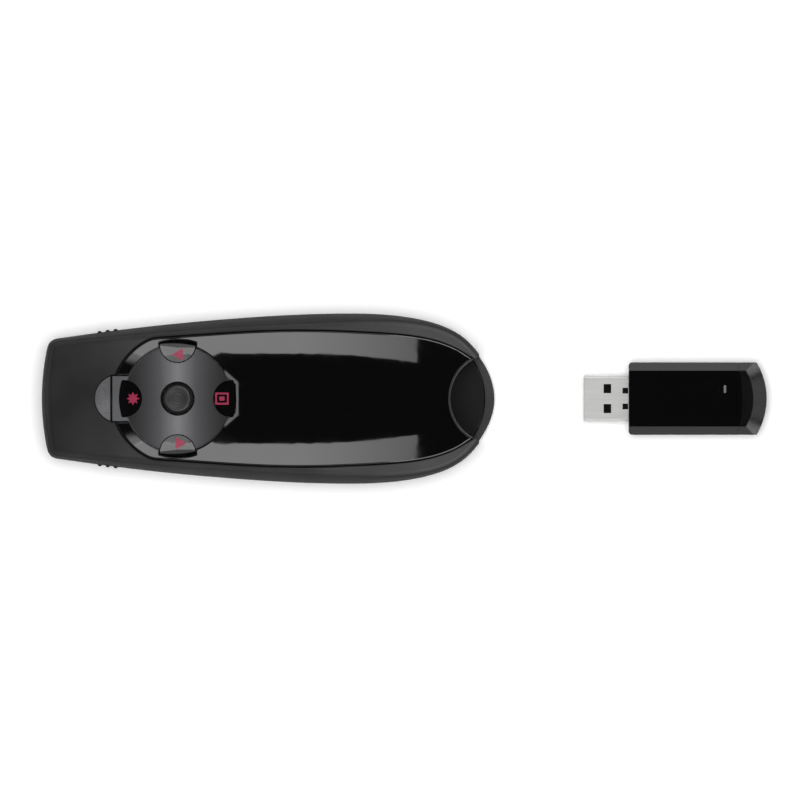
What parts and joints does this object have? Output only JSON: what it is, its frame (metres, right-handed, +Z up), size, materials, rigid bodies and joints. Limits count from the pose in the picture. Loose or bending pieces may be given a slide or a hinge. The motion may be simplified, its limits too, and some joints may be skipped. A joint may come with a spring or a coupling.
{
  "type": "presentation clicker",
  "caption": "Hand-held wireless presentation clicker with a round key pad, joystick nub, laser window and a USB receiver that slides into a dock at its tail.",
  "frame": {"origin": "centre of the clicker's flat underside, on the table", "axes": "+X from the nose to the tail and on to the receiver, +Z up"},
  "size_m": [0.1919, 0.045, 0.025],
  "materials": {
    "lower_shell": "fine matte moulding",
    "soft_touch": "soft-touch lacquer",
    "gloss_cover": "polished",
    "dock_black": "matte moulding",
    "pad_frame": "satin moulding",
    "pad_satin": "satin lacquer",
    "key_gloss": "polished",
    "nub_rubber": "moulded",
    "smoked_lens": "polished, smoked",
    "lamp": "diffused",
    "brass": "turned",
    "clear_lens": "polished",
    "board_green": "solder mask",
    "chip_black": "moulded",
    "cell_jacket": "printed sleeve, plain",
    "nickel": "nickel plated",
    "inner_black": "moulded",
    "inner_steel": "stamped",
    "screw_steel": "blackened",
    "knob_black": "moulded",
    "receiver_gloss": "polished",
    "receiver_matte": "matte moulding",
    "plug_steel": "nickel plated sheet",
    "plug_plastic": "moulded",
    "contact_gold": "gold plated",
    "light_guide": "clear, frosted end"
  },
  "bodies": {
    "clicker": {"lower_housing": "lower_shell", "upper_housing": "soft_touch", "top_cover": "gloss_cover", "receiver_dock": "dock_black", "keypad_frame": "pad_frame", "keypad_plate": "pad_satin", "tact_switch_blank": "inner_steel", "tact_switch_back": "inner_steel", "tact_switch_laser": "inner_steel", "tact_switch_forward": "inner_steel", "joystick_base": "inner_black", "status_window": "smoked_lens", "status_led": "lamp", "laser_module": "brass", "laser_window": "clear_lens", "main_board": "board_green", "main_chips": "chip_black", "battery_1": "cell_jacket", "battery_2": "cell_jacket", "contact_plates": "nickel", "battery_springs": "nickel", "power_switch": "inner_steel", "case_screws": "screw_steel"},
    "stick_ring": {"gimbal_ring": "inner_black"},
    "stick": {"joystick_stem": "inner_steel", "joystick_cap": "nub_rubber"},
    "battery_door": {"battery_door": "lower_shell"},
    "power_knob": {"power_knob": "knob_black"},
    "receiver": {"receiver_top_shell": "receiver_gloss", "receiver_bottom_shell": "receiver_gloss", "receiver_cap": "receiver_matte", "usb_shell": "plug_steel", "usb_tongue": "plug_plastic", "usb_contacts": "contact_gold", "receiver_board": "board_green", "receiver_chip": "chip_black", "receiver_led": "light_guide"},
    "key_blank": {"key_blank": "key_gloss", "switch_plunger_blank": "inner_black"},
    "key_back": {"key_back": "key_gloss", "switch_plunger_back": "inner_black"},
    "key_laser": {"key_laser": "key_gloss", "switch_plunger_laser": "inner_black"},
    "key_forward": {"key_forward": "key_gloss", "switch_plunger_forward": "inner_black"}
  },
  "joints": [
    {"name": "key_blank_press", "type": "slide", "parent": "clicker", "child": "key_blank", "axis": [0, 0, -1], "range_m": [0, 0.0006], "stiffness_N_per_m": 800, "springref_m": -0.0006},
    {"name": "key_back_press", "type": "slide", "parent": "clicker", "child": "key_back", "axis": [0, 0, -1], "range_m": [0, 0.0006], "stiffness_N_per_m": 800, "springref_m": -0.0006},
    {"name": "key_laser_press", "type": "slide", "parent": "clicker", "child": "key_laser", "axis": [0, 0, -1], "range_m": [0, 0.0006], "stiffness_N_per_m": 800, "springref_m": -0.0006},
    {"name": "key_forward_press", "type": "slide", "parent": "clicker", "child": "key_forward", "axis": [0, 0, -1], "range_m": [0, 0.0006], "stiffness_N_per_m": 800, "springref_m": -0.0006},
    {"name": "stick_tilt_across", "type": "hinge", "parent": "clicker", "child": "stick_ring", "pos_m": [-0.0237, 0, 0.018], "axis": [1, 0, 0], "range_deg": [-8, 8], "stiffness_Nm_per_rad": 0.02},
    {"name": "stick_tilt_along", "type": "hinge", "parent": "stick_ring", "child": "stick", "pos_m": [-0.0237, 0, 0.018], "axis": [0, 1, 0], "range_deg": [-8, 8], "stiffness_Nm_per_rad": 0.02},
    {"name": "battery_door_hinge", "type": "hinge", "parent": "clicker", "child": "battery_door", "pos_m": [-0.0425, 0, 0.0019], "axis": [0, 1, 0], "range_deg": [0, 90]},
    {"name": "power_slide", "type": "slide", "parent": "clicker", "child": "power_knob", "axis": [1, 0, 0], "range_m": [0, 0.003]},
    {"name": "receiver_slide", "type": "slide", "parent": "clicker", "child": "receiver", "axis": [-0.9971, 0, 0.0763], "range_m": [0, 0.07206]}
  ]
}
